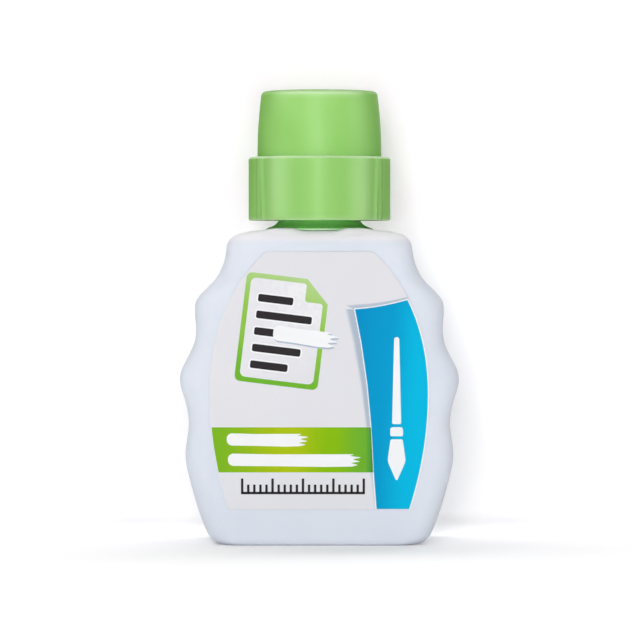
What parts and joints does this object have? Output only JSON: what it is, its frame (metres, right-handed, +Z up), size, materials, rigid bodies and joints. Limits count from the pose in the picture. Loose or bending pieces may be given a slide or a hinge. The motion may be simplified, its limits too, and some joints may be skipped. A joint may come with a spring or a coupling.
{
  "type": "correction fluid bottle",
  "caption": "Flat waisted white bottle with a front and a back label and a green padded screw cap that carries the applicator brush.",
  "frame": {"origin": "centre of the bottle's base, on the surface that it stands on", "axes": "+Z up through the cap, -Y out of the front label, X across the bottle's width"},
  "size_m": [0.046, 0.0236, 0.0752],
  "materials": {
    "bottle_body": "satin white blow-moulded plastic",
    "label": "satin printed film",
    "neck_wiper": "natural translucent",
    "seal_liner": "fine foam",
    "inner_cap": "satin deep green",
    "cap_shell": "satin light green",
    "brush_stem": "natural white",
    "bristle_tuft": "fluid-soaked nylon",
    "tuft_anchor": "drawn wire"
  },
  "bodies": {
    "bottle": {"bottle_body": "bottle_body", "front_label": "label", "back_label": "label", "neck_wiper": "neck_wiper"},
    "liner": {"seal_liner": "seal_liner"},
    "closure": {"inner_cap": "inner_cap", "cap_shell": "cap_shell", "brush_stem": "brush_stem", "bristle_tuft": "bristle_tuft", "tuft_anchor": "tuft_anchor"}
  },
  "joints": [
    {"name": "cap_lift", "type": "slide", "parent": "bottle", "child": "liner", "axis": [0, 0, 1], "range_m": [0, 0.065]},
    {"name": "cap_turn", "type": "hinge", "parent": "liner", "child": "closure", "pos_m": [0, 0, 0.058], "axis": [0, 0, 1], "range_deg": [0, 170]}
  ]
}
